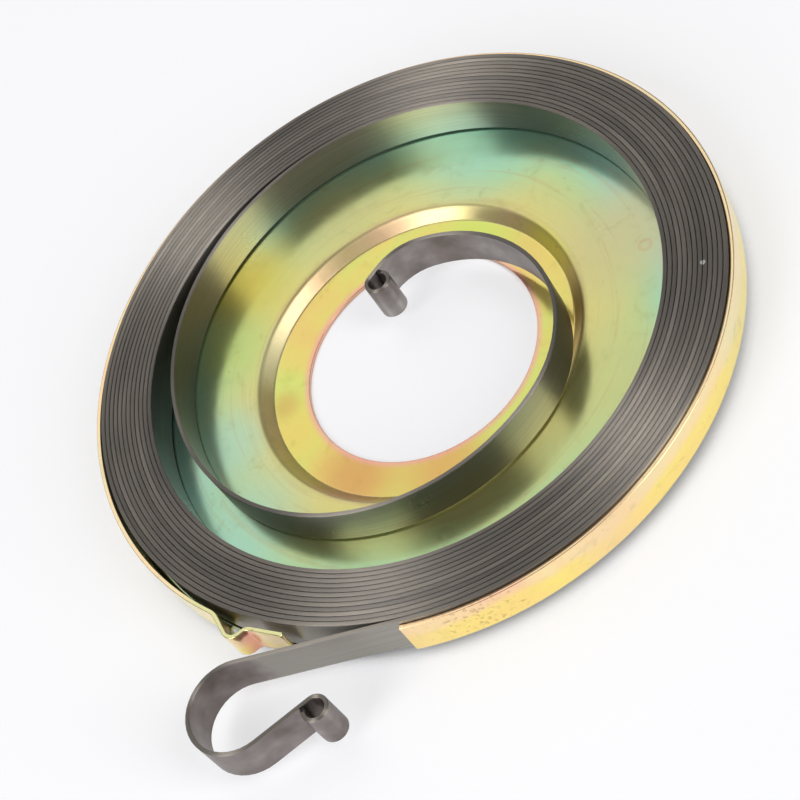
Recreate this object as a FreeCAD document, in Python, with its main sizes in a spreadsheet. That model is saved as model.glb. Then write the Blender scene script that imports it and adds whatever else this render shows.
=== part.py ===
import FreeCAD, Part
import math
import os

# Recoil starter spring in its pressed steel case, in millimetres, +Z up.
# The case is one pressing: a round pan with a low wall, a floor that steps down to a flat
# ring round the hub hole, and a slot in the wall beside a crimped tab.
# The spring is one strip on edge: a hook with a rolled eye outside the slot, a pack of
# turns against the wall, and a loose turn that ends in a second rolled eye over the hub.
# The origin is on the axis of the case, in the plane that the hub ring rests on.
# Azimuths are in degrees from +X towards +Y. The coil runs that way from the slot inwards.

SIZES = (
    ("case_radius", 40.0, "axis to the outside of the wall"),
    ("sheet_gauge", 0.5, "thickness of the case's sheet"),
    ("wall_rise", 4.95, "pan floor to the rim"),
    ("wall_bend", 0.4, "inside radius where the floor turns up into the wall"),
    ("hub_hole_radius", 14.6, "hole for the pulley's hub"),
    ("hub_ring_radius", 19.2, "outer end of the flat ring round the hole"),
    ("hub_drop", 1.5, "pan floor down to the hub ring"),
    ("hub_slope_angle", 60.0, "slope of the step, degrees from level"),
    ("hub_bend", 0.5, "inside radius of the step's two bends"),
    ("crimp_azimuth", 204.5, "where the wall ends and its crimped tab starts"),
    ("crimp_lead_radius", 2.5, "first bend of the crimp, outwards, at mid-thickness"),
    ("crimp_lead_angle", 28.0, "degrees of that bend"),
    ("crimp_side", 2.5, "straight side of the crimp"),
    ("crimp_fold_radius", 1.3, "fold at the crimp's bottom, at mid-thickness"),
    ("crimp_fold_angle", 96.5, "degrees of that fold"),
    ("crimp_land", 0.3, "straight between the fold and the last bend"),
    ("crimp_exit_radius", 1.2, "last bend, onto the tab, at mid-thickness"),
    ("crimp_exit_angle", 55.5, "degrees of that bend"),
    ("tab_length", 4.3, "straight tab past the crimp"),
    ("tab_relief", 0.8, "pan floor to the lower edge of crimp and tab"),
    ("strip_gauge", 0.5, "thickness of the spring strip"),
    ("strip_width", 5.2, "height of the strip on edge"),
    ("seat_clearance", 0.25, "pan floor to the strip's lower edge"),
    ("wall_clearance", 0.08, "outermost turn to the wall"),
    ("turn_gap", 0.075, "air between neighbouring turns"),
    ("exit_azimuth", 241.5, "where the hook's leg leaves the outermost turn"),
    ("exit_clearance", 0.06, "leg to the end of the wall"),
    ("wind_azimuth", 60.0, "where each turn starts to step inwards"),
    ("pack_half_turns", 23, "half turns after the first pass along the wall"),
    ("pack_flat_angle", 5.0, "degrees of each short flat that the pack's turns are laid in"),
    ("pan_flat_angle", 30.0, "degrees of each flat in the pan's three bends"),
    ("leave_azimuth", 64.0, "where the loose turn leaves the pack"),
    ("loose_ratio_1", 0.91, "first bend of the loose turn, share of the pack's inner radius"),
    ("loose_angle_1", 116.2, "degrees of the first bend"),
    ("loose_ratio_2", 0.776, "second bend"),
    ("loose_angle_2", 111.8, "degrees of the second bend"),
    ("loose_ratio_3", 0.5, "third bend"),
    ("loose_angle_3", 129.6, "degrees of the third bend"),
    ("loose_ratio_4", 0.216, "fourth bend, which brings the eye over the hub"),
    ("loose_angle_4", 46.6, "degrees of the fourth bend"),
    ("eye_lead", 1.8, "straight from the fourth bend to the inner eye"),
    ("leg_length", 20.6, "straight leg from the pack to the hook"),
    ("hook_radius", 5.43, "hook, at mid-thickness"),
    ("hook_angle", 208.8, "degrees of the hook"),
    ("shank_length", 7.3, "straight shank from the hook to its eye"),
    ("eye_bore_radius", 1.15, "inside of both rolled eyes"),
    ("eye_angle", 285.0, "degrees that an eye is rolled through"),
    ("eye_seam", 0.1, "air between the strip's end and the strip it closes on"),
)

doc = FreeCAD.newDocument("recoil_spring")
sheet = doc.addObject("Spreadsheet::Sheet", "Sizes")
for row, (alias, value, note) in enumerate(SIZES, start=1):
    sheet.set("A%d" % row, alias)
    sheet.set("B%d" % row, str(value))
    sheet.set("C%d" % row, note)
    sheet.setAlias("B%d" % row, alias)
doc.recompute()


def size(alias):
    """A driving dimension, read back from the sheet."""
    return float(sheet.get(alias))


class BentStrip:
    """Edge view of a strip of even gauge, walked along its middle by straights and bends."""

    def __init__(self, x, y, heading, gauge):
        self.x = x
        self.y = y
        self.heading = heading
        self.half = gauge / 2.0
        self.edges = []

    def side_point(self, side):
        """The corner half a gauge to the left (+1) or right (-1) of the middle."""
        angle = math.radians(self.heading + 90.0 * side)
        reach_x = self.x + self.half * math.cos(angle)
        reach_y = self.y + self.half * math.sin(angle)
        return FreeCAD.Vector(reach_x, reach_y, 0.0)

    def cap(self):
        """Close the strip square across where it stands."""
        self.edges.append(Part.LineSegment(self.side_point(-1), self.side_point(1)))
        return self

    def straight(self, length):
        starts = [self.side_point(side) for side in (-1, 1)]
        self.x += length * math.cos(math.radians(self.heading))
        self.y += length * math.sin(math.radians(self.heading))
        ends = [self.side_point(side) for side in (-1, 1)]
        for start, end in zip(starts, ends):
            self.edges.append(Part.LineSegment(start, end))
        return self

    def bend(self, radius, sweep, flat=None):
        """Turn through sweep degrees, left when positive, with radius at mid-thickness.

        Where flat is given, the bend is a row of flats of about so many degrees each.
        """
        turn = math.copysign(1.0, sweep)
        out = math.radians(self.heading - 90.0 * turn)
        centre = FreeCAD.Vector(
            self.x - radius * math.cos(out), self.y - radius * math.sin(out), 0.0)
        out_end = out + math.radians(sweep)
        first, last = min(out, out_end), max(out, out_end)
        for side_radius in (radius - self.half, radius + self.half):
            if flat:
                count = math.ceil(abs(sweep) / flat)
                angles = [first + (last - first) * i / count for i in range(count + 1)]
                corners = [centre + FreeCAD.Vector(math.cos(a), math.sin(a), 0.0) * side_radius
                           for a in angles]
                self.edges += [Part.LineSegment(*pair) for pair in zip(corners, corners[1:])]
            else:
                circle = Part.Circle(centre, FreeCAD.Vector(0, 0, 1), side_radius)
                self.edges.append(Part.ArcOfCircle(circle, first, last))
        self.x = centre.x + radius * math.cos(out_end)
        self.y = centre.y + radius * math.sin(out_end)
        self.heading += sweep
        return self


def polar(radius, azimuth):
    angle = math.radians(azimuth)
    return radius * math.cos(angle), radius * math.sin(angle)


def origin_plane(body, role):
    return next(part for part in body.Origin.OriginFeatures if part.Role == role)


def sketch_on(body, role, name, edges, level=None):
    """A sketch of the given edges on an origin plane, raised by an expression for its level."""
    sketch = body.newObject("Sketcher::SketchObject", name)
    sketch.AttachmentSupport = [(origin_plane(body, role), "")]
    sketch.MapMode = "FlatFace"
    if level:
        sketch.setExpression("AttachmentOffset.Base.z", level)
    sketch.addGeometry(edges, False)
    return sketch


PAN_FLOOR = "(Sizes.sheet_gauge + Sizes.hub_drop)"
TAB_FOOT = "(%s + Sizes.tab_relief)" % PAN_FLOOR
STRIP_FOOT = "(%s + Sizes.seat_clearance)" % PAN_FLOOR

gauge = size("sheet_gauge")
pan_floor = gauge + size("hub_drop")
wall_inside = size("case_radius") - gauge
strip_gauge = size("strip_gauge")
outer_turn = wall_inside - size("wall_clearance") - strip_gauge / 2.0


# The case

def pan_section():
    """Half section of the pan, from the rim down, along the floor and over the step to the hole."""
    wall_bend = size("wall_bend")
    step_bend = size("hub_bend") + gauge / 2.0
    slope = math.radians(size("hub_slope_angle"))
    slope_run = (size("hub_drop") - 2.0 * step_bend * (1.0 - math.cos(slope))) / math.sin(slope)
    step_width = 2.0 * step_bend * math.sin(slope) + slope_run * math.cos(slope)
    section = BentStrip(wall_inside + gauge / 2.0, pan_floor + size("wall_rise"), -90.0, gauge)
    section.cap()
    section.straight(size("wall_rise") - wall_bend)
    section.bend(wall_bend + gauge / 2.0, -90.0, size("pan_flat_angle"))
    section.straight(wall_inside - wall_bend - size("hub_ring_radius") - step_width)
    section.bend(step_bend, size("hub_slope_angle"), size("pan_flat_angle"))
    section.straight(slope_run)
    section.bend(step_bend, -size("hub_slope_angle"), size("pan_flat_angle"))
    section.straight(size("hub_ring_radius") - size("hub_hole_radius"))
    section.cap()
    return section.edges


def wall_end_azimuth():
    """The wall's cut end, where the leg's outer face still clears the wall's inside."""
    reach = (outer_turn + strip_gauge / 2.0) / (wall_inside - size("exit_clearance"))
    return size("exit_azimuth") - math.degrees(math.acos(reach))


def slot_sector():
    """Plan of the slot: the ring of wall and upper bend between the crimp and the wall's end."""
    first, last = size("crimp_azimuth"), wall_end_azimuth()
    inner = wall_inside - size("wall_bend")
    outer = size("case_radius") + gauge
    up = FreeCAD.Vector(0, 0, 1)
    edges = []
    for radius in (inner, outer):
        circle = Part.Circle(FreeCAD.Vector(), up, radius)
        edges.append(Part.ArcOfCircle(circle, math.radians(first), math.radians(last)))
    for azimuth in (first, last):
        near = FreeCAD.Vector(*polar(inner, azimuth), 0.0)
        far = FreeCAD.Vector(*polar(outer, azimuth), 0.0)
        edges.append(Part.LineSegment(near, far))
    return edges


def crimp_plan():
    """The wall's end, folded outwards and back, with the straight tab that follows."""
    start_x, start_y = polar(wall_inside + gauge / 2.0, size("crimp_azimuth"))
    tab = BentStrip(start_x, start_y, size("crimp_azimuth") + 90.0, gauge)
    tab.cap()
    tab.bend(size("crimp_lead_radius"), -size("crimp_lead_angle"))
    tab.straight(size("crimp_side"))
    tab.bend(size("crimp_fold_radius"), size("crimp_fold_angle"))
    tab.straight(size("crimp_land"))
    tab.bend(size("crimp_exit_radius"), -size("crimp_exit_angle"))
    tab.straight(size("tab_length"))
    tab.cap()
    return tab.edges


case = doc.addObject("PartDesign::Body", "spring_case")
case.Label = "spring_case"

pan_sketch = sketch_on(case, "XZ_Plane", "PanSection", pan_section())
pan = case.newObject("PartDesign::Revolution", "Pan")
pan.Profile = pan_sketch
pan.ReferenceAxis = (pan_sketch, ["V_Axis"])
pan.Angle = 360.0
doc.recompute()
pan_volume = pan.Shape.Volume

slot_sketch = sketch_on(case, "XY_Plane", "SlotPlan", slot_sector(), PAN_FLOOR)
slot = case.newObject("PartDesign::Pocket", "WallSlot")
slot.Profile = slot_sketch
slot.Reversed = True
slot.setExpression("Length", "2 * Sizes.wall_rise")
doc.recompute()
if slot.Shape.Volume >= pan_volume:
    raise RuntimeError("the slot cuts nothing")

crimp_sketch = sketch_on(case, "XY_Plane", "CrimpPlan", crimp_plan(), TAB_FOOT)
crimp = case.newObject("PartDesign::Pad", "CrimpedTab")
crimp.Profile = crimp_sketch
crimp.setExpression("Length", "Sizes.wall_rise - Sizes.tab_relief")
doc.recompute()


# The spring

def roll_eye(strip, turn):
    """Roll the strip's end into an eye and stop short of the strip that it closes on."""
    radius = size("eye_bore_radius") + strip_gauge / 2.0
    strip.bend(radius, turn * size("eye_angle"))
    past = math.radians(size("eye_angle") - 270.0)
    outer_corner = (radius + strip_gauge / 2.0) * math.sin(past)
    closing = (size("eye_bore_radius") - size("eye_seam") - outer_corner) / math.cos(past)
    strip.straight(closing)
    strip.cap()


def hook_edges():
    """From the outermost turn out through the slot: leg, hook, shank and eye."""
    strip = BentStrip(*polar(outer_turn, size("exit_azimuth")), size("exit_azimuth") - 90.0, strip_gauge)
    strip.straight(size("leg_length"))
    strip.bend(size("hook_radius"), size("hook_angle"))
    strip.straight(size("shank_length"))
    roll_eye(strip, -1.0)
    return strip.edges


def coil_edges():
    """From the slot inwards: along the wall, the pack in half turns, the loose turn and its eye."""
    strip = BentStrip(*polar(outer_turn, size("exit_azimuth")), size("exit_azimuth") + 90.0, strip_gauge)
    step_in = (strip_gauge + size("turn_gap")) / 2.0
    half_turns = int(size("pack_half_turns"))
    flat = size("pack_flat_angle")
    strip.bend(outer_turn, size("wind_azimuth") + 360.0 - size("exit_azimuth"), flat)
    for half_turn in range(1, half_turns + 1):
        strip.bend(outer_turn - half_turn * step_in, 180.0, flat)
    inner_turn = outer_turn - (half_turns + 1) * step_in
    wound = size("wind_azimuth") + 180.0 * half_turns
    strip.bend(inner_turn, (size("leave_azimuth") - wound) % 360.0, flat)
    for number in (1, 2, 3, 4):
        ratio = size("loose_ratio_%d" % number)
        strip.bend(ratio * inner_turn, size("loose_angle_%d" % number))
    strip.straight(size("eye_lead"))
    roll_eye(strip, 1.0)
    return strip.edges


spring = doc.addObject("PartDesign::Body", "recoil_spring")
spring.Label = "recoil_spring"

strip_sketch = sketch_on(spring, "XY_Plane", "StripEdgeView", hook_edges() + coil_edges(), STRIP_FOOT)
strip_pad = spring.newObject("PartDesign::Pad", "Strip")
strip_pad.Profile = strip_sketch
strip_pad.setExpression("Length", "Sizes.strip_width")
doc.recompute()


# Checks and files

for item in doc.Objects:
    if "Invalid" in item.State or "Error" in item.State:
        raise RuntimeError("%s failed: %s" % (item.Name, item.State))

os.makedirs("parts", exist_ok=True)
for body in (case, spring):
    if body.Shape.isNull() or not body.Shape.isValid():
        raise RuntimeError("%s has no valid shape" % body.Label)
for body in (case, spring):
    body.Shape.exportStep("parts/%s.step" % body.Label)
    box = body.Shape.BoundBox
    print(body.Label, "solids", len(body.Shape.Solids), "volume", round(body.Shape.Volume, 2))
    print("  x", round(box.XMin, 2), round(box.XMax, 2), "y", round(box.YMin, 2), round(box.YMax, 2),
          "z", round(box.ZMin, 2), round(box.ZMax, 2))
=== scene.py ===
"""Looks of a recoil starter spring in its pressed steel case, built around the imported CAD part."""

import math
from collections import namedtuple

import bpy
from mathutils import Matrix, Vector


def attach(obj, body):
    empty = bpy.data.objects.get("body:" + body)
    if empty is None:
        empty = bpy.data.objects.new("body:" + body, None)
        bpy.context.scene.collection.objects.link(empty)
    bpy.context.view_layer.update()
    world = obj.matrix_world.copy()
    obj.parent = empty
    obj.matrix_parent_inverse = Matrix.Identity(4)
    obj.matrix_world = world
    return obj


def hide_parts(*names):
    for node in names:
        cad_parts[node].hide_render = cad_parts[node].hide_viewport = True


bl_info = {
    "name": "Recoil starter spring",
    "version": (1, 0, 0),
    "blender": (4, 5, 0),
    "location": "View3D > Sidebar > Spring",
    "description": "A wound strip spring in its yellow zinc plated case, with a plain studio stage",
    "category": "Object",
}

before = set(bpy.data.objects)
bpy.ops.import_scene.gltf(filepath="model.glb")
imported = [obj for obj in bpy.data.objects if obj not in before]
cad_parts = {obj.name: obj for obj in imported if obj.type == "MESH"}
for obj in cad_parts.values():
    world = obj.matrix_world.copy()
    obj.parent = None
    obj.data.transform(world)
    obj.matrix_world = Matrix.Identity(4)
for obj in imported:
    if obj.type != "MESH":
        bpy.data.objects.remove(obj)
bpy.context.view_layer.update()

MM = 0.001


def linear(hex_colour):
    """An sRGB colour written in hex, as linear red, green, blue and alpha."""
    channels = [int(hex_colour[i:i + 2], 16) / 255.0 for i in (1, 3, 5)]
    return [c / 12.92 if c <= 0.04045 else ((c + 0.055) / 1.055) ** 2.4 for c in channels] + [1.0]


def length(name, description, millimetres):
    """A length that a user may change, kept in metres."""
    return bpy.props.FloatProperty(
        name=name, description=description, default=millimetres * MM, precision=5, unit="LENGTH")


def angle(name, description, degrees):
    """An angle that a user may change, kept in radians."""
    return bpy.props.FloatProperty(
        name=name, description=description, default=math.radians(degrees), subtype="ANGLE")


def colour(name, description, hex_colour):
    """A finish's colour that a user may change."""
    return bpy.props.FloatVectorProperty(
        name=name, description=description, default=linear(hex_colour),
        subtype="COLOR", size=4, min=0.0, max=1.0)


class CaseSettings(bpy.types.PropertyGroup):
    """Sizes and plating colours of the pressed case."""

    radius: length("Case radius", "Axis to the outside of the wall", 40.0)
    gauge: length("Sheet gauge", "Thickness of the sheet", 0.5)
    wall_rise: length("Wall rise", "Pan floor to the rim", 4.95)
    wall_bend: length("Wall bend", "Inside radius where the floor turns up into the wall", 0.4)
    hole_radius: length("Hole radius", "Hole for the pulley's hub", 14.6)
    ring_radius: length("Ring radius", "Outer end of the flat ring round the hole", 19.05)
    drop: length("Step", "Pan floor down to the ring", 1.5)
    slope: angle("Step slope", "Slope of the step from level", 48.0)
    step_bend: length("Step bend", "Inside radius of the step's two bends", 0.55)
    crimp_azimuth: angle("Crimp azimuth", "Where the wall ends and its crimped tab starts", 204.5)
    wall_end_azimuth: angle("Wall end azimuth", "The wall's other end, beside the spring's leg", 239.675)
    crimp_lead_radius: length("Crimp lead radius", "First bend of the crimp, outwards, at mid-thickness", 2.5)
    crimp_lead: angle("Crimp lead", "Turn of that bend", 28.0)
    crimp_side: length("Crimp side", "Straight side of the crimp", 2.5)
    crimp_fold_radius: length("Crimp fold radius", "Fold at the crimp's bottom, at mid-thickness", 1.3)
    crimp_fold: angle("Crimp fold", "Turn of that fold", 96.5)
    crimp_land: length("Crimp land", "Straight between the fold and the last bend", 0.3)
    crimp_exit_radius: length("Crimp exit radius", "Last bend, onto the tab, at mid-thickness", 1.2)
    crimp_exit: angle("Crimp exit", "Turn of that bend", 55.5)
    tab_length: length("Tab length", "Straight tab past the crimp", 4.3)
    tab_relief: length("Tab relief", "Pan floor to the lower edge of crimp and tab", 0.8)
    edge_round: length("Edge round", "Rounding of the sheared edges", 0.1)
    yellow: colour("Yellow", "Plating on most of the ring", "#DFCB72")
    green: colour("Green", "Plating on most of the floor", "#B6C98E")
    straw: colour("Straw", "Plating on most of the wall", "#FAE482")
    pink: colour("Pink", "Plating along the cut edges", "#E8A79C")
    olive: colour("Olive", "Stains in the plating", "#8E8340")


class SpringSettings(bpy.types.PropertyGroup):
    """Sizes and steel colours of the wound strip."""

    gauge: length("Strip gauge", "Thickness of the strip", 0.5)
    width: length("Strip width", "Height of the strip on edge", 5.2)
    edge_round: length("Edge round", "Rounding of the strip's rolled edges", 0.1)
    seat_clearance: length("Seat clearance", "Pan floor to the strip's lower edge", 0.25)
    wall_clearance: length("Wall clearance", "Outermost turn to the wall", 0.08)
    turn_gap: length("Turn gap", "Air between neighbouring turns", 0.075)
    exit_azimuth: angle("Exit azimuth", "Where the hook's leg leaves the outermost turn", 241.5)
    wind_azimuth: angle("Wind azimuth", "Where each turn starts to step inwards", 60.0)
    leave_azimuth: angle("Leave azimuth", "Where the loose turn leaves the pack", 64.0)
    half_turns: bpy.props.IntProperty(
        name="Half turns", description="Half turns after the first pass along the wall", default=23)
    leg_length: length("Leg length", "Straight leg from the pack to the hook", 20.6)
    hook_radius: length("Hook radius", "Hook, at mid-thickness", 5.43)
    hook_turn: angle("Hook turn", "Turn of the hook", 208.8)
    shank_length: length("Shank length", "Straight shank from the hook to its eye", 7.3)
    eye_lead: length("Eye lead", "Straight from the loose turn's last bend to the inner eye", 1.8)
    eye_radius: length("Eye radius", "Inside of both rolled eyes", 1.15)
    eye_turn: angle("Eye turn", "Turn that an eye is rolled through", 285.0)
    eye_seam: length("Eye seam", "Air between the strip's end and the strip it closes on", 0.1)
    steel: colour("Steel", "Rolled faces", "#9A968F")
    edge: colour("Edge", "Slit edges", "#918B84")
    heated: colour("Heated", "Both ends, browned by the heat of rolling the eyes", "#807774")


class StageSettings(bpy.types.PropertyGroup):
    """Floor, lamps and camera."""

    floor: colour("Floor", "Pale floor", "#FCFCFE")
    camera_distance: length("Camera distance", "Camera to the middle of the case", 256.9)
    camera_level: length("Camera level", "Level of the middle that the camera looks at", 2.442)
    shift_right: length("Shift right", "Middle of the case right of the picture's middle", 1.685)
    shift_up: length("Shift up", "Middle of the case above the picture's middle", 6.374)
    camera_elevation: angle("Camera elevation", "Camera above the horizon", 48.374)
    camera_roll: angle("Camera roll", "Turn of the camera about its own axis", -38.037)
    lens: bpy.props.FloatProperty(
        name="Lens", description="Focal length for a 36 mm sensor, in millimetres", default=99.0)


# The loose turn's bends: radius as a share of the pack's inner radius, and turn in degrees.
LOOSE_BENDS = ((0.91, 116.2), (0.776, 111.8), (0.5, 129.6), (0.216, 46.6))

# Curves are drawn in steps of at most this turn, and these lengths in metres.
ROUND_STEP = math.radians(9.0)
STRIP_STEP = 1.2 * MM
WALL_STEP = 1.2 * MM
FLOOR_STEP = 5.0 * MM
BEND_STEP = 0.2 * MM
RING_STEP = 1.6 * MM
CRIMP_STEP = 0.35 * MM

# Soft stains in the plating, and one painted reflection on the step: plan spot and reach in millimetres, tint
# and strength.
FLOOR_STAINS = (
    ((22.0, 20.0), 14.0, "#93CBB4", 0.8),
    ((-28.0, -5.0), 12.0, "#A4CFB8", 0.7),
    ((27.0, -6.0), 14.0, "#C9BB88", 0.75),
    ((17.0, -24.0), 13.0, "#C3C27E", 0.7),
    ((-12.0, 26.5), 13.0, "#CDC055", 0.9),
    ((-17.5, 18.0), 9.0, "#B4C878", 0.8),
    ((-24.5, 6.0), 9.0, "#A6CDB8", 0.7),
    ((3.0, 26.0), 12.0, "#BDBB80", 0.7),
)
RING_STAINS = (
    ((-17.0, 2.0), 8.0, "#E2CA6C", 0.8),
    ((-14.5, -8.5), 9.0, "#CE9A5C", 0.8),
    ((-6.0, -16.0), 10.0, "#D2A05E", 0.7),
    ((-16.5, 7.0), 3.5, "#C9A25A", 0.6),
    ((14.0, 9.0), 10.0, "#C8DC6C", 0.8),
)
STEP_STAINS_AND_REFLECTION = (
    ((-4.0, 19.0), 10.0, "#C9A98C", 0.9),
    ((7.0, 20.0), 9.0, "#EFC6A6", 0.9),
    ((20.0, 0.5), 9.0, "#FBF77C", 1.0),
    # Painted reflection: the dark brown patch below is where the step's slope on the right mirrors the dark
    # strip.
    ((17.5, -10.0), 6.0, "#7C6426", 0.8),
    ((-20.0, -4.0), 10.0, "#E8E08A", 0.8),
    ((-14.0, 14.0), 8.0, "#FBF2C4", 0.8),
)
WALL_STAINS = (
    ((-34.0, -21.6), 2.4, "#EBA08C", 0.85),
    ((-31.8, -24.3), 2.4, "#E8CC9A", 0.7),
    ((4.0, -39.5), 9.0, "#F8CDA0", 0.5),
    ((39.0, 3.0), 18.0, "#E6D9A6", 0.7),
    ((-20.0, -34.6), 8.0, "#F6CFA0", 0.4),
)

# Single marks, in metres.
WATER_MARK = Vector((27.7, -9.3, 0.0)) * MM
CRIMP = Vector((-34.5, -21.0, 0.0)) * MM
WALL_SCUFF = Vector((-12.5, -38.1, 0.0)) * MM
WHITE_SPOT = Vector((29.9, -21.1, 7.45)) * MM

# Name, azimuth and elevation in degrees, width and height in metres, and brightness.
SOFTBOXES = (
    ("right_softbox", 309.0, 32.0, 0.42, 0.9, 4.4),
    ("left_softbox", 203.0, 32.0, 0.42, 0.9, 4.4),
    ("back_softbox", 95.0, 50.0, 0.85, 0.85, 1.0),
)
SOFTBOX_DISTANCE = 0.9
FLOOR_SIDE = 3.0


# Plan paths and nodes

class Walk:
    """A line walked by straights and bends, as the CAD part is, with points close enough to look round."""

    def __init__(self, x, y, heading, step):
        self.x = x
        self.y = y
        self.heading = heading
        self.step = step
        self.stations = [(x, y, heading)]

    def straight(self, distance):
        count = max(1, math.ceil(distance / self.step))
        start_x, start_y = self.x, self.y
        for i in range(1, count + 1):
            self.x = start_x + distance * i / count * math.cos(self.heading)
            self.y = start_y + distance * i / count * math.sin(self.heading)
            self.stations.append((self.x, self.y, self.heading))
        return self

    def bend(self, radius, sweep):
        """Turn left when positive, with radius at mid-thickness."""
        side = math.copysign(math.pi / 2.0, sweep)
        out = self.heading - side
        centre_x = self.x - radius * math.cos(out)
        centre_y = self.y - radius * math.sin(out)
        count = max(3, math.ceil(abs(sweep) * radius / self.step), math.ceil(abs(sweep) / ROUND_STEP))
        start = self.heading
        for i in range(1, count + 1):
            turned = sweep * i / count
            self.x = centre_x + radius * math.cos(out + turned)
            self.y = centre_y + radius * math.sin(out + turned)
            self.heading = start + turned
            self.stations.append((self.x, self.y, self.heading))
        return self


def add(tree, kind, inputs=None, stops=(), **settings):
    """A new node with its settings, its sockets given a value or linked, and its colour stops.
    A stop's colour is hex or a setting's."""
    node = tree.nodes.new(kind)
    for name, value in settings.items():
        setattr(node, name, value)
    for name, value in (inputs or {}).items():
        if isinstance(value, bpy.types.NodeSocket):
            tree.links.new(value, node.inputs[name])
        else:
            node.inputs[name].default_value = value
    for index, (position, shade) in enumerate(stops):
        elements = node.color_ramp.elements
        element = elements[index] if index < len(elements) else elements.new(position)
        element.position = position
        element.color = linear(shade) if isinstance(shade, str) else shade
    return node


def new_material(name):
    """An empty material with its Principled shader wired to the output."""
    material = bpy.data.materials.new(name)
    material.use_nodes = True
    tree = material.node_tree
    tree.nodes.clear()
    shader = add(tree, "ShaderNodeBsdfPrincipled")
    add(tree, "ShaderNodeOutputMaterial", {"Surface": shader.outputs["BSDF"]})
    return material, tree, shader


def finish_piece(piece, node_name):
    """Put a piece on the frame in place of its CAD node."""
    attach(piece, "root")
    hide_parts(node_name)


# The case

def case_section(settings):
    """Mid-line of the sheet from the rim to the hole, in rows of radius, level and lean, which is the
    angle of the inside's normal. The rows down to the tab's lower edge and the wall's foot are counted."""
    gauge = settings.gauge
    pan_floor = gauge + settings.drop
    wall_mid = settings.radius - gauge / 2.0
    step_bend = settings.step_bend + gauge / 2.0
    slope = settings.slope
    run = (settings.drop - 2.0 * step_bend * (1.0 - math.cos(slope))) / math.sin(slope)
    width = 2.0 * step_bend * math.sin(slope) + run * math.cos(slope)
    flat = wall_mid - gauge / 2.0 - settings.wall_bend - settings.ring_radius - width
    walk = Walk(wall_mid, pan_floor + settings.wall_rise, -math.pi / 2.0, WALL_STEP)
    walk.straight(settings.wall_rise - settings.tab_relief)
    rows_of_tab = len(walk.stations)
    walk.straight(settings.tab_relief - settings.wall_bend)
    walk.bend(settings.wall_bend + gauge / 2.0, -math.pi / 2.0)
    rows_of_wall = len(walk.stations)
    walk.step = FLOOR_STEP
    walk.straight(flat)
    walk.step = BEND_STEP
    walk.bend(step_bend, slope)
    walk.straight(run)
    walk.bend(step_bend, -slope)
    walk.step = RING_STEP
    walk.straight(settings.ring_radius - settings.hole_radius)
    rows = [(x, z, heading - math.pi / 2.0) for x, z, heading in walk.stations]
    return rows, rows_of_tab, rows_of_wall


def crimp_stations(settings):
    """Plan of the wall's end, folded outwards and back, with the straight tab after it."""
    radius = settings.radius - settings.gauge / 2.0
    azimuth = settings.crimp_azimuth
    walk = Walk(radius * math.cos(azimuth), radius * math.sin(azimuth),
                azimuth + math.pi / 2.0, CRIMP_STEP)
    walk.bend(settings.crimp_lead_radius, -settings.crimp_lead)
    walk.straight(settings.crimp_side)
    walk.bend(settings.crimp_fold_radius, settings.crimp_fold)
    walk.straight(settings.crimp_land)
    walk.bend(settings.crimp_exit_radius, -settings.crimp_exit)
    walk.straight(settings.tab_length)
    return walk.stations[1:]


def sheet_mesh(name, cells, place, gauge):
    """A closed sheet of the given gauge. A cell is four corner keys, and place gives a key's mid point
    and normal."""
    numbers = {}
    points = []
    faces = []

    def number(key, side):
        if (key, side) not in numbers:
            middle, normal = place(key)
            numbers[(key, side)] = len(points)
            points.append(middle + normal * (side * gauge / 2.0))
        return numbers[(key, side)]

    open_edges = {}
    for cell in cells:
        faces.append([number(key, 1) for key in cell])
        faces.append([number(key, -1) for key in reversed(cell)])
        for first, second in zip(cell, cell[1:] + cell[:1]):
            if (second, first) in open_edges:
                del open_edges[(second, first)]
            else:
                open_edges[(first, second)] = True
    for first, second in open_edges:
        faces.append([number(second, 1), number(first, 1), number(first, -1), number(second, -1)])
    mesh = bpy.data.meshes.new(name)
    mesh.from_pydata(points, [], faces)
    mesh.update()
    return mesh


def case_mesh(settings, stations=480):
    """The whole pressing: pan, wall with its slot, and the crimped tab."""
    rows, rows_of_tab, rows_of_wall = case_section(settings)
    tab = crimp_stations(settings)
    slot_start = settings.crimp_azimuth
    slot_end = settings.wall_end_azimuth
    slot_steps = round(stations * (slot_end - slot_start) / math.tau)
    wall_steps = stations - slot_steps
    azimuths = [slot_end + (slot_start + math.tau - slot_end) * i / wall_steps for i in range(wall_steps)]
    azimuths += [slot_start + (slot_end - slot_start) * i / slot_steps for i in range(slot_steps)]

    def place(key):
        column, row = key
        radius, level, lean = rows[row]
        if column < stations:
            out = Vector((math.cos(azimuths[column]), math.sin(azimuths[column]), 0.0))
            middle = out * radius
        else:
            x, y, heading = tab[column - stations]
            out = Vector((math.sin(heading), -math.cos(heading), 0.0))
            middle = Vector((x, y, 0.0))
        middle.z = level
        return middle, out * math.cos(lean) + Vector((0.0, 0.0, math.sin(lean)))

    cells = []
    for column in range(stations):
        after = (column + 1) % stations
        first_row = 0 if column < wall_steps else rows_of_wall - 1
        for row in range(first_row, len(rows) - 1):
            cells.append([(column, row + 1), (after, row + 1), (after, row), (column, row)])
    before = wall_steps
    for column in range(stations, stations + len(tab)):
        for row in range(rows_of_tab - 1):
            cells.append([(before, row + 1), (column, row + 1), (column, row), (before, row)])
        before = column
    return sheet_mesh("spring_case_pressing", cells, place, settings.gauge)


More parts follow.
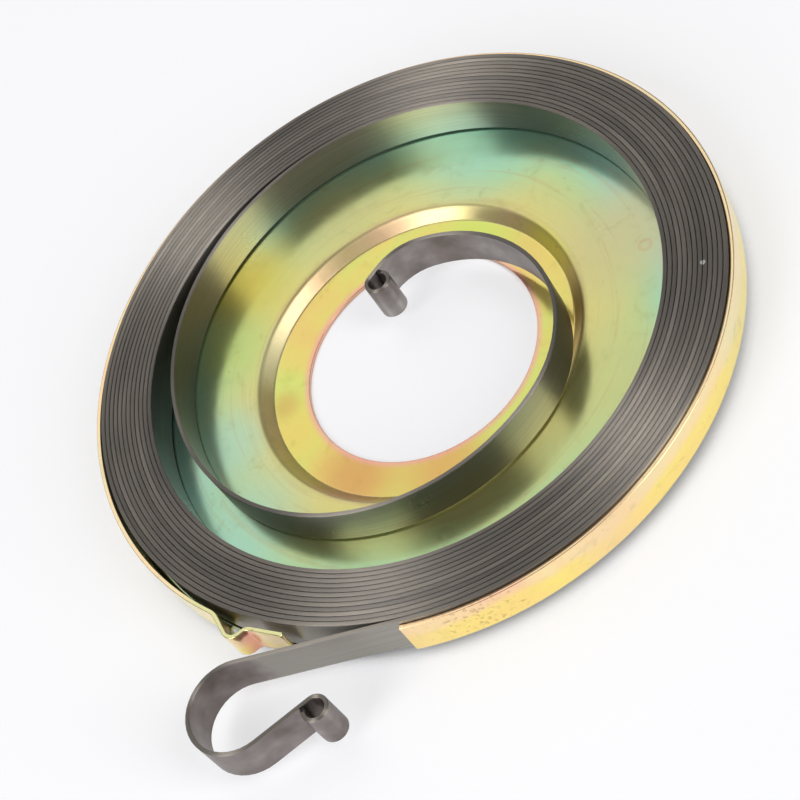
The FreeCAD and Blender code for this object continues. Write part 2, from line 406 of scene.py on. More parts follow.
def stain(tree, place, film, spot, reach, tint, strength):
    """Let a tint spread softly over the film from a spot in the plan, with a reach in millimetres."""
    centre = Vector((spot[0], spot[1], 0.0)) * MM
    flat = add(tree, "ShaderNodeVectorMath", {0: place, 1: (1.0, 1.0, 0.0)}, operation="MULTIPLY")
    away = add(tree, "ShaderNodeVectorMath", {0: flat.outputs["Vector"], 1: centre}, operation="DISTANCE")
    share = add(tree, "ShaderNodeMapRange",
                {"Value": away.outputs["Value"], "From Min": 0.0, "From Max": reach * MM,
                 "To Min": strength, "To Max": 0.0}, interpolation_type="SMOOTHERSTEP")
    mixed = add(tree, "ShaderNodeMix", {0: share.outputs["Result"], 6: film, 7: linear(tint)},
                data_type="RGBA")
    return mixed.outputs[2]


Fields = namedtuple("Fields", "place flat radius azimuth level clouds")


def plating_fields(tree):
    """Where a point of the case lies, and clouds about 18 mm across that push the film's thickness up
    and down."""
    place = add(tree, "ShaderNodeTexCoord").outputs["Object"]
    axes = add(tree, "ShaderNodeSeparateXYZ", {0: place}).outputs
    flat = add(tree, "ShaderNodeCombineXYZ", {0: axes["X"], 1: axes["Y"]}).outputs["Vector"]
    radius = add(tree, "ShaderNodeVectorMath", {0: flat}, operation="LENGTH").outputs["Value"]
    azimuth = add(tree, "ShaderNodeMath", {0: axes["Y"], 1: axes["X"]},
                  operation="ARCTAN2").outputs["Value"]
    clouds = add(tree, "ShaderNodeTexNoise",
                 {"Vector": place, "Scale": 1.0 / (18.0 * MM), "Detail": 3.0,
                  "Distortion": 0.6}).outputs["Fac"]
    return Fields(place, flat, radius, azimuth, axes["Z"], clouds)


def floor_film(tree, settings, fields):
    """The pan's floor, green to teal, with rubbed arcs and a water mark."""
    outwards = add(tree, "ShaderNodeMapRange",
                   {"Value": fields.radius, "From Min": settings.ring_radius + 1.95 * MM,
                    "From Max": settings.radius - 8.0 * MM,
                    "To Min": -0.05, "To Max": 0.85}).outputs["Result"]
    thickness = add(tree, "ShaderNodeMath", {0: fields.clouds, 1: 0.8, 2: outwards},
                    operation="MULTIPLY_ADD")
    thickness = add(tree, "ShaderNodeMath", {0: thickness.outputs["Value"], 1: 0.3}, operation="SUBTRACT")
    film = add(tree, "ShaderNodeValToRGB", {"Fac": thickness.outputs["Value"]}, stops=(
        (0.00, "#D2C880"), (0.25, "#C6C784"), (0.50, settings.green), (0.75, "#A3CBA6"),
        (1.00, "#98C8B8"))).outputs["Color"]
    for spot, reach, tint, strength in FLOOR_STAINS:
        film = stain(tree, fields.place, film, spot, reach, tint, strength)

    # Rubbed arcs about 0.8 mm apart and 20 mm long lie round the floor.
    out = add(tree, "ShaderNodeMath", {0: fields.radius, 1: 1.0 / (0.8 * MM)}, operation="MULTIPLY")
    round_turn = add(tree, "ShaderNodeMath", {0: fields.azimuth, 1: 1.3}, operation="MULTIPLY")
    rub = add(tree, "ShaderNodeCombineXYZ",
              {0: out.outputs["Value"], 1: round_turn.outputs["Value"]}).outputs["Vector"]
    arcs = add(tree, "ShaderNodeTexNoise",
               {"Vector": rub, "Scale": 1.0, "Detail": 2.0, "Distortion": 0.9}).outputs["Fac"]
    rubbed = add(tree, "ShaderNodeMapRange",
                 {"Value": arcs, "From Min": 0.52, "From Max": 0.72, "To Max": 0.24},
                 interpolation_type="SMOOTHSTEP").outputs["Result"]
    film = add(tree, "ShaderNodeMix", {0: rubbed, 6: film, 7: linear("#B8A070")}, data_type="RGBA").outputs[2]

    # A round water mark, nearly 2 mm across, dried on the floor.
    away = add(tree, "ShaderNodeVectorMath", {0: fields.flat, 1: WATER_MARK}, operation="DISTANCE")
    mark = add(tree, "ShaderNodeMath", {0: away.outputs["Value"], 1: 0.7 * MM, 2: 0.25 * MM},
               operation="COMPARE")
    faint = add(tree, "ShaderNodeMath", {0: mark.outputs["Value"], 1: 0.2}, operation="MULTIPLY")
    return add(tree, "ShaderNodeMix", {0: faint.outputs["Value"], 6: film, 7: linear("#C08A58")},
               data_type="RGBA").outputs[2]


def ring_film(tree, settings, fields, on_step):
    """The ring round the hole, straw yellow to orange, and the step that rises from it, stretched
    paler."""
    film = add(tree, "ShaderNodeValToRGB", {"Fac": fields.clouds}, stops=(
        (0.34, "#E2BF74"), (0.47, settings.yellow), (0.60, "#CFD574"))).outputs["Color"]
    for spot, reach, tint, strength in RING_STAINS:
        film = stain(tree, fields.place, film, spot, reach, tint, strength)
    drawn_film = add(tree, "ShaderNodeValToRGB", {"Fac": fields.clouds}, stops=(
        (0.34, "#EDC9AA"), (0.50, "#E8D6A0"), (0.62, "#D8C68A"))).outputs["Color"]
    for spot, reach, tint, strength in STEP_STAINS_AND_REFLECTION:
        drawn_film = stain(tree, fields.place, drawn_film, spot, reach, tint, strength)
    return add(tree, "ShaderNodeMix", {0: on_step, 6: film, 7: drawn_film}, data_type="RGBA").outputs[2]


def wall_film(tree, settings, fields, rim):
    """The wall has no green: yellow low down, and peach or cream higher up."""
    film = add(tree, "ShaderNodeValToRGB", {"Fac": fields.clouds}, stops=(
        (0.34, "#F9DC86"), (0.50, settings.straw), (0.64, "#F0E29A"))).outputs["Color"]
    upper_film = add(tree, "ShaderNodeValToRGB", {"Fac": fields.clouds}, stops=(
        (0.34, "#F5CDA4"), (0.48, "#F8DEA8"), (0.64, "#F0E2B0"))).outputs["Color"]
    ragged = add(tree, "ShaderNodeMath", {0: fields.clouds, 1: 5.0 * MM, 2: fields.level},
                 operation="MULTIPLY_ADD")
    upper = add(tree, "ShaderNodeMapRange",
                {"Value": ragged.outputs["Value"], "From Min": rim - 0.35 * MM, "From Max": rim + 1.25 * MM},
                interpolation_type="SMOOTHSTEP").outputs["Result"]
    film = add(tree, "ShaderNodeMix", {0: upper, 6: film, 7: upper_film}, data_type="RGBA").outputs[2]
    for spot, reach, tint, strength in WALL_STAINS:
        film = stain(tree, fields.place, film, spot, reach, tint, strength)
    return film


def edge_tints(tree, settings, fields, film, rim):
    """Pink creeps in from the sheared edge of the hole, and faintly from the rim. By the crimp the
    rim's edge is pale yellow green."""
    hole = settings.hole_radius
    hole_edge = add(tree, "ShaderNodeMapRange",
                    {"Value": fields.radius, "From Min": hole + 0.1 * MM, "From Max": hole + 1.0 * MM,
                     "To Min": 0.75, "To Max": 0.0}, interpolation_type="SMOOTHSTEP").outputs["Result"]
    rim_edge = add(tree, "ShaderNodeMapRange",
                   {"Value": fields.level, "From Min": rim - 0.15 * MM, "From Max": rim,
                    "To Max": 0.18}, interpolation_type="SMOOTHSTEP").outputs["Result"]
    edge = add(tree, "ShaderNodeMath", {0: hole_edge, 1: rim_edge}, operation="MAXIMUM").outputs["Value"]
    film = add(tree, "ShaderNodeMix", {0: edge, 6: film, 7: settings.pink}, data_type="RGBA").outputs[2]

    from_crimp = add(tree, "ShaderNodeVectorMath", {0: fields.flat, 1: CRIMP},
                     operation="DISTANCE").outputs["Value"]
    by_crimp = add(tree, "ShaderNodeMapRange",
                   {"Value": from_crimp, "From Min": 7.0 * MM, "From Max": 10.0 * MM,
                    "To Min": 0.85, "To Max": 0.0}).outputs["Result"]
    top = add(tree, "ShaderNodeMath", {0: fields.level, 1: rim - 0.1 * MM},
              operation="GREATER_THAN").outputs["Value"]
    pale = add(tree, "ShaderNodeMath", {0: by_crimp, 1: top}, operation="MULTIPLY").outputs["Value"]
    return add(tree, "ShaderNodeMix", {0: pale, 6: film, 7: linear("#D3D69A")}, data_type="RGBA").outputs[2]


def corner_shade_and_dirt(tree, settings, fields, film, speckle):
    """Painted shade in the corner under the pack, specks on a scuffed stretch of the wall, and brown stains.
    """
    pan_floor = settings.gauge + settings.drop
    # Painted shade: the floor's outer corner under the pack, where the gap between the pack and the wall lies
    # in shade, is tinted near black brown.
    corner = add(tree, "ShaderNodeMapRange",
                 {"Value": fields.radius, "From Min": settings.radius - 5.0 * MM,
                  "From Max": settings.radius - 3.5 * MM}).outputs["Result"]
    low = add(tree, "ShaderNodeMath", {0: fields.level, 1: pan_floor + 0.5 * MM},
              operation="LESS_THAN").outputs["Value"]
    inside = add(tree, "ShaderNodeMath", {0: fields.radius, 1: settings.radius - 1.0 * MM},
                 operation="LESS_THAN").outputs["Value"]
    corner_shade = add(tree, "ShaderNodeMath", {0: corner, 1: low}, operation="MULTIPLY").outputs["Value"]
    corner_shade = add(tree, "ShaderNodeMath", {0: corner_shade, 1: inside}, operation="MULTIPLY").outputs["Value"]
    film = add(tree, "ShaderNodeMix", {0: corner_shade, 6: film, 7: linear("#3A2E22")}, data_type="RGBA").outputs[2]

    # Brown specks about 0.6 mm across thin out from the middle of the scuff.
    specks = add(tree, "ShaderNodeTexNoise",
                 {"Vector": fields.place, "Scale": 1.0 / (0.6 * MM), "Detail": 1.0}).outputs["Fac"]
    from_scuff = add(tree, "ShaderNodeVectorMath", {0: fields.flat, 1: WALL_SCUFF},
                     operation="DISTANCE").outputs["Value"]
    scuffed = add(tree, "ShaderNodeMapRange",
                  {"Value": from_scuff, "From Min": 0.0, "From Max": 7.0 * MM,
                   "To Min": 0.52, "To Max": 0.72}).outputs["Result"]
    above = add(tree, "ShaderNodeMath", {0: specks, 1: scuffed}, operation="SUBTRACT").outputs["Value"]
    speck = add(tree, "ShaderNodeMapRange",
                {"Value": above, "From Min": 0.0, "From Max": 0.12, "To Max": 0.4}).outputs["Result"]
    film = add(tree, "ShaderNodeMix", {0: speck, 6: film, 7: linear("#9C8258")}, data_type="RGBA").outputs[2]

    soiled = add(tree, "ShaderNodeMapRange",
                 {"Value": speckle, "From Min": 0.58, "From Max": 0.78, "To Max": 0.22}).outputs["Result"]
    return add(tree, "ShaderNodeMix", {0: soiled, 6: film, 7: settings.olive}, data_type="RGBA").outputs[2]


def zinc_plating(settings):
    """Yellow passivated zinc on deep drawn steel: a metal sheen under a thin film whose colour drifts
    with its thickness, straw yellow on the ring, green to teal out on the floor, yellow and peach on
    the wall and pink at the hole's sheared edge, with stains, a painted reflection on the step, rubbed
    arcs, specks, painted shade in the corner under the pack and the slight unevenness that the press leaves."""
    material, tree, shader = new_material("yellow_passivated_zinc")
    fields = plating_fields(tree)
    rim = settings.gauge + settings.drop + settings.wall_rise
    ring = settings.ring_radius
    off_ring = add(tree, "ShaderNodeMapRange",
                   {"Value": fields.radius, "From Min": ring + 1.15 * MM, "From Max": ring + 2.35 * MM},
                   interpolation_type="SMOOTHSTEP").outputs["Result"]
    on_step = add(tree, "ShaderNodeMapRange",
                  {"Value": fields.radius, "From Min": ring - 0.05 * MM, "From Max": ring + 0.45 * MM,
                   "To Max": 0.85}, interpolation_type="SMOOTHSTEP").outputs["Result"]
    on_wall = add(tree, "ShaderNodeMapRange",
                  {"Value": fields.radius, "From Min": settings.radius - 1.1 * MM,
                   "From Max": settings.radius - 0.4 * MM}).outputs["Result"]
    film = add(tree, "ShaderNodeMix",
               {0: off_ring, 6: ring_film(tree, settings, fields, on_step),
                7: floor_film(tree, settings, fields)}, data_type="RGBA").outputs[2]
    film = add(tree, "ShaderNodeMix", {0: on_wall, 6: film, 7: wall_film(tree, settings, fields, rim)},
               data_type="RGBA").outputs[2]
    film = edge_tints(tree, settings, fields, film, rim)
    # The stains and the patches of duller gloss are 1 to 3 mm across.
    speckle = add(tree, "ShaderNodeTexNoise",
                  {"Vector": fields.place, "Scale": 1.0 / (3.0 * MM), "Detail": 3.0, "Roughness": 0.6,
                   "Distortion": 0.8}).outputs["Fac"]
    film = corner_shade_and_dirt(tree, settings, fields, film, speckle)
    tree.links.new(film, shader.inputs["Base Color"])
    shader.inputs["Metallic"].default_value = 0.85

    # The stretched step is duller than the floor, up to its upper bend.
    below = add(tree, "ShaderNodeMapRange",
                {"Value": fields.radius, "From Min": ring + 1.95 * MM, "From Max": ring + 2.55 * MM,
                 "To Min": 1.0, "To Max": 0.0}).outputs["Result"]
    stretched = add(tree, "ShaderNodeMath", {0: on_step, 1: below}, operation="MULTIPLY").outputs["Value"]
    dulled = add(tree, "ShaderNodeMapRange", {"Value": stretched, "To Min": 0.12, "To Max": 0.34})
    gloss = add(tree, "ShaderNodeMath", {0: speckle, 1: 0.16, 2: dulled.outputs["Result"]},
                operation="MULTIPLY_ADD")
    tree.links.new(gloss.outputs["Value"], shader.inputs["Roughness"])
    # The press leaves soft waves some 9 mm long.
    press = add(tree, "ShaderNodeTexNoise",
                {"Vector": fields.place, "Scale": 1.0 / (9.0 * MM), "Detail": 2.0}).outputs["Fac"]
    bump = add(tree, "ShaderNodeBump", {"Height": press, "Strength": 0.12, "Distance": 0.3 * MM})
    tree.links.new(bump.outputs["Normal"], shader.inputs["Normal"])
    return material


# The spring

def strip_stations(case, settings):
    """Plan of the strip's middle from the outer eye's cut end to the inner eye's, in walking order."""
    outer = case.radius - case.gauge - settings.wall_clearance - settings.gauge / 2.0
    leaves = settings.exit_azimuth
    start = outer * math.cos(leaves), outer * math.sin(leaves)
    hook = Walk(*start, leaves - math.pi / 2.0, STRIP_STEP)
    hook.straight(settings.leg_length)
    hook.bend(settings.hook_radius, settings.hook_turn)
    hook.straight(settings.shank_length)
    roll_eye(hook, settings, -1.0)

    coil = Walk(*start, leaves + math.pi / 2.0, STRIP_STEP)
    step_in = (settings.gauge + settings.turn_gap) / 2.0
    coil.bend(outer, settings.wind_azimuth + math.tau - leaves)
    for half_turn in range(1, settings.half_turns + 1):
        coil.bend(outer - half_turn * step_in, math.pi)
    inner = outer - (settings.half_turns + 1) * step_in
    wound = settings.wind_azimuth + math.pi * settings.half_turns
    coil.bend(inner, (settings.leave_azimuth - wound) % math.tau)
    for share, sweep in LOOSE_BENDS:
        coil.bend(share * inner, math.radians(sweep))
    coil.straight(settings.eye_lead)
    roll_eye(coil, settings, 1.0)

    outwards = [(x, y) for x, y, _ in reversed(hook.stations)]
    inwards = [(x, y) for x, y, _ in coil.stations[1:]]
    return outwards + inwards


def roll_eye(walk, settings, turn):
    """Roll the end into an eye that stops just short of the strip it closes on."""
    half = settings.gauge / 2.0
    radius = settings.eye_radius + half
    walk.bend(radius, turn * settings.eye_turn)
    past = settings.eye_turn - 1.5 * math.pi
    corner = (radius + half) * math.sin(past)
    walk.straight((settings.eye_radius - settings.eye_seam - corner) / math.cos(past))


def strip_tree():
    """Geometry nodes that sweep a rounded strip section along a plan line."""
    tree = bpy.data.node_groups.new("strip_on_edge", "GeometryNodeTree")
    tree.interface.new_socket("Geometry", in_out="INPUT", socket_type="NodeSocketGeometry")
    for name in ("Strip gauge", "Strip width", "Edge round"):
        tree.interface.new_socket(name, in_out="INPUT", socket_type="NodeSocketFloat")
    tree.interface.new_socket("Finish", in_out="INPUT", socket_type="NodeSocketMaterial")
    tree.interface.new_socket("Geometry", in_out="OUTPUT", socket_type="NodeSocketGeometry")
    source = add(tree, "NodeGroupInput").outputs
    upright = add(tree, "GeometryNodeSetCurveNormal", {"Curve": source["Geometry"]}, mode="Z_UP")
    along = add(tree, "GeometryNodeSplineParameter").outputs["Length"]
    measured = add(tree, "GeometryNodeStoreNamedAttribute",
                   {"Geometry": upright.outputs["Curve"], "Name": "along", "Value": along},
                   data_type="FLOAT", domain="POINT")
    heading = add(tree, "GeometryNodeInputTangent").outputs["Tangent"]
    marked = add(tree, "GeometryNodeStoreNamedAttribute",
                 {"Geometry": measured.outputs["Geometry"], "Name": "heading", "Value": heading},
                 data_type="FLOAT_VECTOR", domain="POINT")
    section = add(tree, "GeometryNodeCurvePrimitiveQuadrilateral",
                  {"Width": source["Strip gauge"], "Height": source["Strip width"]})
    rounded = add(tree, "GeometryNodeFilletCurve",
                  {"Curve": section.outputs["Curve"], "Radius": source["Edge round"], "Count": 3},
                  mode="POLY")
    swept = add(tree, "GeometryNodeCurveToMesh",
                {"Curve": marked.outputs["Geometry"], "Profile Curve": rounded.outputs["Curve"],
                 "Fill Caps": True})
    smooth = add(tree, "GeometryNodeSetShadeSmooth", {"Geometry": swept.outputs["Mesh"]})
    real = add(tree, "GeometryNodeRealizeInstances", {"Geometry": smooth.outputs["Geometry"]})
    dressed = add(tree, "GeometryNodeSetMaterial",
                  {"Geometry": real.outputs["Geometry"], "Material": source["Finish"]})
    add(tree, "NodeGroupOutput", {"Geometry": dressed.outputs["Geometry"]})
    return tree


def swept_strip(settings, points, top, finish):
    """The strip as a plain mesh object, with its upper edge at the level of top."""
    level = top - settings.width / 2.0
    line = bpy.data.curves.new("strip_line", "CURVE")
    line.dimensions = "3D"
    spline = line.splines.new("POLY")
    spline.points.add(len(points) - 1)
    for point, (x, y) in zip(spline.points, points):
        point.co = (x, y, level, 1.0)
    holder = bpy.data.objects.new("strip_line", line)
    bpy.context.scene.collection.objects.link(holder)
    tree = strip_tree()
    modifier = holder.modifiers.new("Strip", "NODES")
    modifier.node_group = tree
    values = {"Strip gauge": settings.gauge, "Strip width": settings.width,
              "Edge round": settings.edge_round, "Finish": finish}
    for item in tree.interface.items_tree:
        if item.item_type == "SOCKET" and item.in_out == "INPUT" and item.name in values:
            modifier[item.identifier] = values[item.name]
    bpy.context.view_layer.update()
    graph = bpy.context.evaluated_depsgraph_get()
    mesh = bpy.data.meshes.new_from_object(holder.evaluated_get(graph), depsgraph=graph)
    holder.modifiers.remove(modifier)
    bpy.data.objects.remove(holder)
    mesh.name = "recoil_spring_strip"
    piece = bpy.data.objects.new("recoil_spring_strip", mesh)
    bpy.context.scene.collection.objects.link(piece)
    return piece


def spring_steel(settings, whole, top):
    """Hardened and tempered strip steel: glossy faces that mirror the plating, with fine rolling
    lines and patches of duller gloss, matt grey slit edges, and a brown heat tint by both eyes. The
    strip's whole length and the level of its upper edge are given in metres."""
    material, tree, shader = new_material("tempered_spring_steel")
    place = add(tree, "ShaderNodeTexCoord").outputs["Object"]
    axes = add(tree, "ShaderNodeSeparateXYZ", {0: place}).outputs
    along = add(tree, "ShaderNodeAttribute", attribute_name="along").outputs["Fac"]

    # Rolling lines run along the faces and fade in and out over some 20 mm. At 0.3 mm apart they are
    # drawn coarser than the real ones, so that they show.
    run = add(tree, "ShaderNodeMath", {0: along, 1: 1.0 / (20.0 * MM)}, operation="MULTIPLY")
    rise = add(tree, "ShaderNodeMath", {0: axes["Z"], 1: 1.0 / (0.3 * MM)}, operation="MULTIPLY")
    rolled = add(tree, "ShaderNodeCombineXYZ", {0: run.outputs["Value"], 1: rise.outputs["Value"]})
    lines = add(tree, "ShaderNodeTexNoise",
                {"Vector": rolled.outputs["Vector"], "Scale": 1.0, "Detail": 3.0}).outputs["Fac"]
    patches = add(tree, "ShaderNodeTexNoise",
                  {"Vector": place, "Scale": 1.0 / (7.0 * MM), "Detail": 3.0,
                   "Roughness": 0.6}).outputs["Fac"]
    face = add(tree, "ShaderNodeValToRGB", {"Fac": lines}, stops=(
        (0.30, "#949089"), (0.50, settings.steel), (0.70, "#A09C95"))).outputs["Color"]

    # The heat tint stops at a ragged line some 36 mm from either end.
    ragged = add(tree, "ShaderNodeMath", {0: patches, 1: 8.0 * MM, 2: along}, operation="MULTIPLY_ADD")
    outer_end = add(tree, "ShaderNodeMapRange",
                    {"Value": ragged.outputs["Value"], "From Min": 40.0 * MM, "From Max": 42.0 * MM,
                     "To Min": 1.0, "To Max": 0.0}).outputs["Result"]
    inner_end = add(tree, "ShaderNodeMapRange",
                    {"Value": ragged.outputs["Value"], "From Min": whole - 32.0 * MM,
                     "From Max": whole - 28.0 * MM}).outputs["Result"]
    hot_end = add(tree, "ShaderNodeMath", {0: outer_end, 1: inner_end}, operation="MAXIMUM").outputs["Value"]
    hot = add(tree, "ShaderNodeValToRGB", {"Fac": patches}, stops=(
        (0.34, "#6A625C"), (0.48, settings.heated), (0.60, "#918A87"),
        (0.74, "#ABA5A2"))).outputs["Color"]
    face = add(tree, "ShaderNodeMix", {0: hot_end, 6: face, 7: hot}, data_type="RGBA").outputs[2]

    # The slit edges: grey, browner in places, with a change of shade every 30 mm or so.
    stretch = add(tree, "ShaderNodeMath", {0: along, 1: 1.0 / (30.0 * MM)}, operation="MULTIPLY")
    drift = add(tree, "ShaderNodeTexNoise",
                {"W": stretch.outputs["Value"], "Scale": 1.0, "Detail": 4.0},
                noise_dimensions="1D").outputs["Fac"]
    rim = add(tree, "ShaderNodeValToRGB", {"Fac": drift}, stops=(
        (0.25, "#837E78"), (0.45, settings.edge), (0.60, "#9D968D"), (0.80, "#ADA69C"))).outputs["Color"]
    on_top = add(tree, "ShaderNodeMapRange",
                 {"Value": axes["Z"], "From Min": top - 0.15 * MM, "From Max": top - 0.05 * MM})
    on_top = on_top.outputs["Result"]
    shade = add(tree, "ShaderNodeMix", {0: on_top, 6: face, 7: rim}, data_type="RGBA").outputs[2]

    # A near-white spot, 0.6 mm across, on one of the upper edges.
    from_white_spot = add(tree, "ShaderNodeVectorMath", {0: place, 1: WHITE_SPOT}, operation="DISTANCE").outputs["Value"]
    white_spot = add(tree, "ShaderNodeMath", {0: from_white_spot, 1: 0.3 * MM}, operation="LESS_THAN").outputs["Value"]
    shade = add(tree, "ShaderNodeMix", {0: white_spot, 6: shade, 7: linear("#F4F4F0")},
                data_type="RGBA").outputs[2]
    tree.links.new(shade, shader.inputs["Base Color"])
    shader.inputs["Metallic"].default_value = 1.0
    duller = add(tree, "ShaderNodeMapRange",
                 {"Value": on_top, "To Min": 0.24, "To Max": 0.55}).outputs["Result"]
    gloss = add(tree, "ShaderNodeMath", {0: patches, 1: 0.1, 2: duller}, operation="MULTIPLY_ADD")
    tree.links.new(gloss.outputs["Value"], shader.inputs["Roughness"])

    # The rolling lines follow the strip, so its gloss spreads across them.
    shader.inputs["Anisotropic"].default_value = 0.93
    heading = add(tree, "ShaderNodeAttribute", attribute_name="heading").outputs["Vector"]
    facing = add(tree, "ShaderNodeNewGeometry").outputs["Normal"]
    across = add(tree, "ShaderNodeVectorMath", {0: heading, 1: facing}, operation="CROSS_PRODUCT")
    tree.links.new(across.outputs["Vector"], shader.inputs["Tangent"])
    bump = add(tree, "ShaderNodeBump", {"Height": lines, "Strength": 0.03, "Distance": 0.01 * MM})
    tree.links.new(bump.outputs["Normal"], shader.inputs["Normal"])
    return material


# The stage

def softbox(name, azimuth, elevation, width, height, brightness):
    """A soft box that faces the object. Its brightness is its radiance, where a white surface's is 1."""
    level = math.cos(math.radians(elevation))
    away = Vector((level * math.cos(math.radians(azimuth)), level * math.sin(math.radians(azimuth)),
                   math.sin(math.radians(elevation))))
    data = bpy.data.lights.new(name, "AREA")
    data.shape = "RECTANGLE"
    data.size = width
    data.size_y = height
    data.energy = brightness * math.pi * width * height
    lamp = bpy.data.objects.new(name, data)
    lamp.location = away * SOFTBOX_DISTANCE
    lamp.rotation_euler = away.to_track_quat("Z", "Y").to_euler()
    bpy.context.scene.collection.objects.link(lamp)


def studio_world():
    """A dim room that is lighter low down on the camera's side. The ranges are parts of a unit
    direction, and the last one is in brightness."""
    world = bpy.data.worlds.new("studio")
    world.use_nodes = True
    tree = world.node_tree
    tree.nodes.clear()
    towards = add(tree, "ShaderNodeTexCoord").outputs["Generated"]
    axes = add(tree, "ShaderNodeSeparateXYZ", {0: towards}).outputs
    front = add(tree, "ShaderNodeMapRange", {"Value": axes["Y"], "From Min": 0.3, "From Max": -0.6},
                interpolation_type="SMOOTHSTEP").outputs["Result"]
    low = add(tree, "ShaderNodeMapRange", {"Value": axes["Z"], "From Min": 0.7, "From Max": 0.3},
              interpolation_type="SMOOTHSTEP").outputs["Result"]
    curtain = add(tree, "ShaderNodeMath", {0: front, 1: low}, operation="MULTIPLY").outputs["Value"]
    strength = add(tree, "ShaderNodeMapRange", {"Value": curtain, "To Min": 0.15, "To Max": 0.85})
    shade = add(tree, "ShaderNodeBackground", {"Color": linear("#FFFFFF"),
                                               "Strength": strength.outputs["Result"]})
    add(tree, "ShaderNodeOutputWorld", {"Surface": shade.outputs["Background"]})
    return world


def stage_floor(settings):
    """Matt white board under the object. To the eye, and in metal, it is partly white by itself, so
    the shadow on it stays faint."""
    material, tree, shader = new_material("matt_white_board")
    shader.inputs["Base Color"].default_value = settings.floor
    shader.inputs["Roughness"].default_value = 0.9
    path = add(tree, "ShaderNodeLightPath").outputs
    seen = add(tree, "ShaderNodeMath", {0: path["Is Camera Ray"], 1: path["Is Glossy Ray"]},
               operation="MAXIMUM")
    seen = add(tree, "ShaderNodeMath", {0: seen.outputs["Value"], 1: path["Is Transmission Ray"]},
               operation="MAXIMUM")
    share = add(tree, "ShaderNodeMath", {0: seen.outputs["Value"], 1: 0.55}, operation="MULTIPLY")
    # The share goes out in narrow gaps, such as those by the crimp, so they look darker.
    open_sky = add(tree, "ShaderNodeAmbientOcclusion", {"Distance": 4.0 * MM}, samples=8)
    lit = add(tree, "ShaderNodeMapRange",
              {"Value": open_sky.outputs["AO"], "From Min": 0.3, "From Max": 0.6}).outputs["Result"]
    white = add(tree, "ShaderNodeEmission", {"Color": settings.floor, "Strength": lit})
    both = add(tree, "ShaderNodeMixShader", {0: share.outputs["Value"], 1: shader.outputs["BSDF"],
                                             2: white.outputs["Emission"]})
    tree.links.new(both.outputs["Shader"], tree.nodes["Material Output"].inputs["Surface"])
    reach = FLOOR_SIDE / 2.0
    mesh = bpy.data.meshes.new("stage_floor")
    mesh.from_pydata([(-reach, -reach, 0.0), (reach, -reach, 0.0), (reach, reach, 0.0),
                      (-reach, reach, 0.0)], [], [(0, 1, 2, 3)])
    mesh.materials.append(material)
    floor = bpy.data.objects.new("stage_floor", mesh)
    bpy.context.scene.collection.objects.link(floor)


def stage_camera(settings):
    """The camera at the photograph's angle."""
    elevation = settings.camera_elevation
    roll = settings.camera_roll
    back = Vector((0.0, -math.cos(elevation), math.sin(elevation)))
    right = Vector((1.0, 0.0, 0.0))
    up = back.cross(right)
    image_x = math.cos(roll) * right + math.sin(roll) * up
    image_y = -math.sin(roll) * right + math.cos(roll) * up
    data = bpy.data.cameras.new("camera")
    data.sensor_width = 36.0
    data.lens = settings.lens
    data.clip_start = 0.01
    data.clip_end = 20.0
    camera = bpy.data.objects.new("camera", data)
    rotation = Matrix((image_x, image_y, back)).transposed()
    middle = Vector((0.0, 0.0, settings.camera_level))
    aim = middle - image_x * settings.shift_right - image_y * settings.shift_up
    camera.matrix_world = Matrix.Translation(aim + back * settings.camera_distance) @ rotation.to_4x4()
    bpy.context.scene.collection.objects.link(camera)
    bpy.context.scene.camera = camera


# The operators, one for each piece and one for the stage

class RECOIL_OT_press_case(bpy.types.Operator):
    """Make the pressed case and plate it"""

    bl_idname = "recoil.press_case"
    bl_label = "Press the case"

    def execute(self, context):
        settings = context.scene.recoil_case
        mesh = case_mesh(settings)
        mesh.materials.append(zinc_plating(settings))
        mesh.shade_smooth()
        piece = bpy.data.objects.new("spring_case_pressing", mesh)
        context.scene.collection.objects.link(piece)
        bevel = piece.modifiers.new("Sheared edges", "BEVEL")
        bevel.width = settings.edge_round
        bevel.segments = 2
        bevel.limit_method = "ANGLE"
        bevel.angle_limit = math.radians(45.0)
        piece.modifiers.new("Flat faces", "WEIGHTED_NORMAL")
        finish_piece(piece, "spring_case")
        return {"FINISHED"}


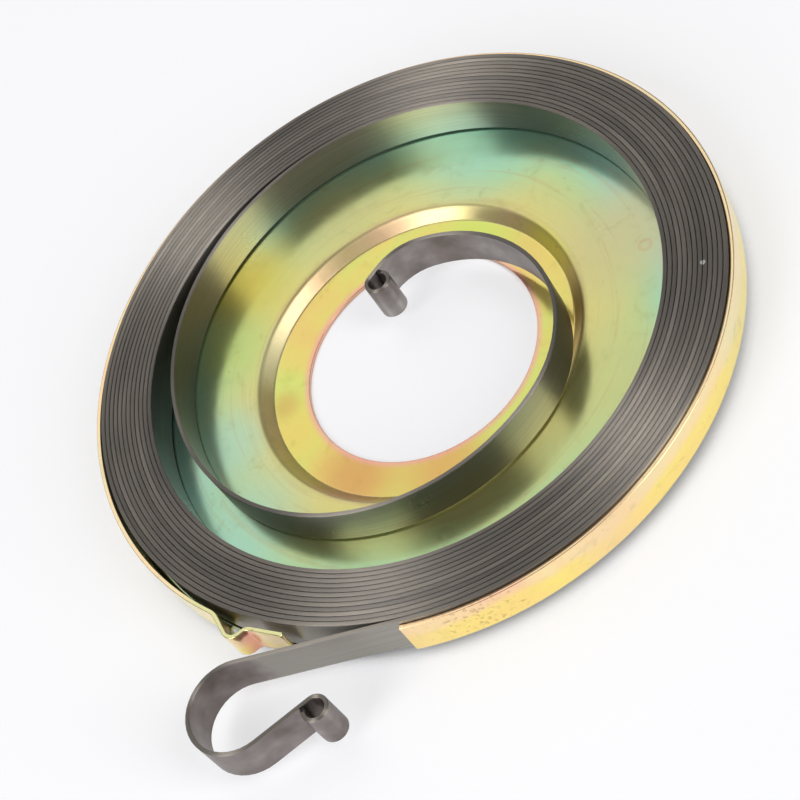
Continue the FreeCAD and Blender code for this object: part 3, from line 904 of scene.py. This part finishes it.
class RECOIL_OT_wind_spring(bpy.types.Operator):
    """Wind the strip into its pack, loose turn, hook and eyes"""

    bl_idname = "recoil.wind_spring"
    bl_label = "Wind the spring"

    def execute(self, context):
        case = context.scene.recoil_case
        settings = context.scene.recoil_spring
        points = strip_stations(case, settings)
        whole = sum(math.dist(first, second) for first, second in zip(points, points[1:]))
        top = case.gauge + case.drop + settings.seat_clearance + settings.width
        piece = swept_strip(settings, points, top, spring_steel(settings, whole, top))
        piece.modifiers.new("Flat faces", "WEIGHTED_NORMAL")
        finish_piece(piece, "recoil_spring")
        return {"FINISHED"}


class RECOIL_OT_set_stage(bpy.types.Operator):
    """Lay the floor, hang the lamps and place the camera"""

    bl_idname = "recoil.set_stage"
    bl_label = "Set the stage"

    def execute(self, context):
        settings = context.scene.recoil_stage
        stage_floor(settings)
        stage_camera(settings)
        for box in SOFTBOXES:
            softbox(*box)
        context.scene.world = studio_world()
        context.scene.view_settings.view_transform = "Standard"
        return {"FINISHED"}


class RECOIL_PT_panel(bpy.types.Panel):
    """Buttons and sizes for the spring in its case"""

    bl_label = "Recoil spring"
    bl_idname = "RECOIL_PT_panel"
    bl_space_type = "VIEW_3D"
    bl_region_type = "UI"
    bl_category = "Spring"

    def draw(self, context):
        layout = self.layout
        for operator, group in STEPS:
            layout.operator(operator)
            settings = getattr(context.scene, group)
            for name in settings.__annotations__:
                layout.prop(settings, name)


STEPS = (
    ("recoil.press_case", "recoil_case"),
    ("recoil.wind_spring", "recoil_spring"),
    ("recoil.set_stage", "recoil_stage"),
)
GROUPS = (("recoil_case", CaseSettings), ("recoil_spring", SpringSettings), ("recoil_stage", StageSettings))
CLASSES = (CaseSettings, SpringSettings, StageSettings, RECOIL_OT_press_case, RECOIL_OT_wind_spring,
           RECOIL_OT_set_stage, RECOIL_PT_panel)


def register():
    for item in CLASSES:
        bpy.utils.register_class(item)
    for name, group in GROUPS:
        setattr(bpy.types.Scene, name, bpy.props.PointerProperty(type=group))


def unregister():
    for name, _ in GROUPS:
        delattr(bpy.types.Scene, name)
    for item in reversed(CLASSES):
        bpy.utils.unregister_class(item)


def main():
    register()
    bpy.ops.recoil.press_case()
    bpy.ops.recoil.wind_spring()
    bpy.ops.recoil.set_stage()


if __name__ == "__main__":
    main()
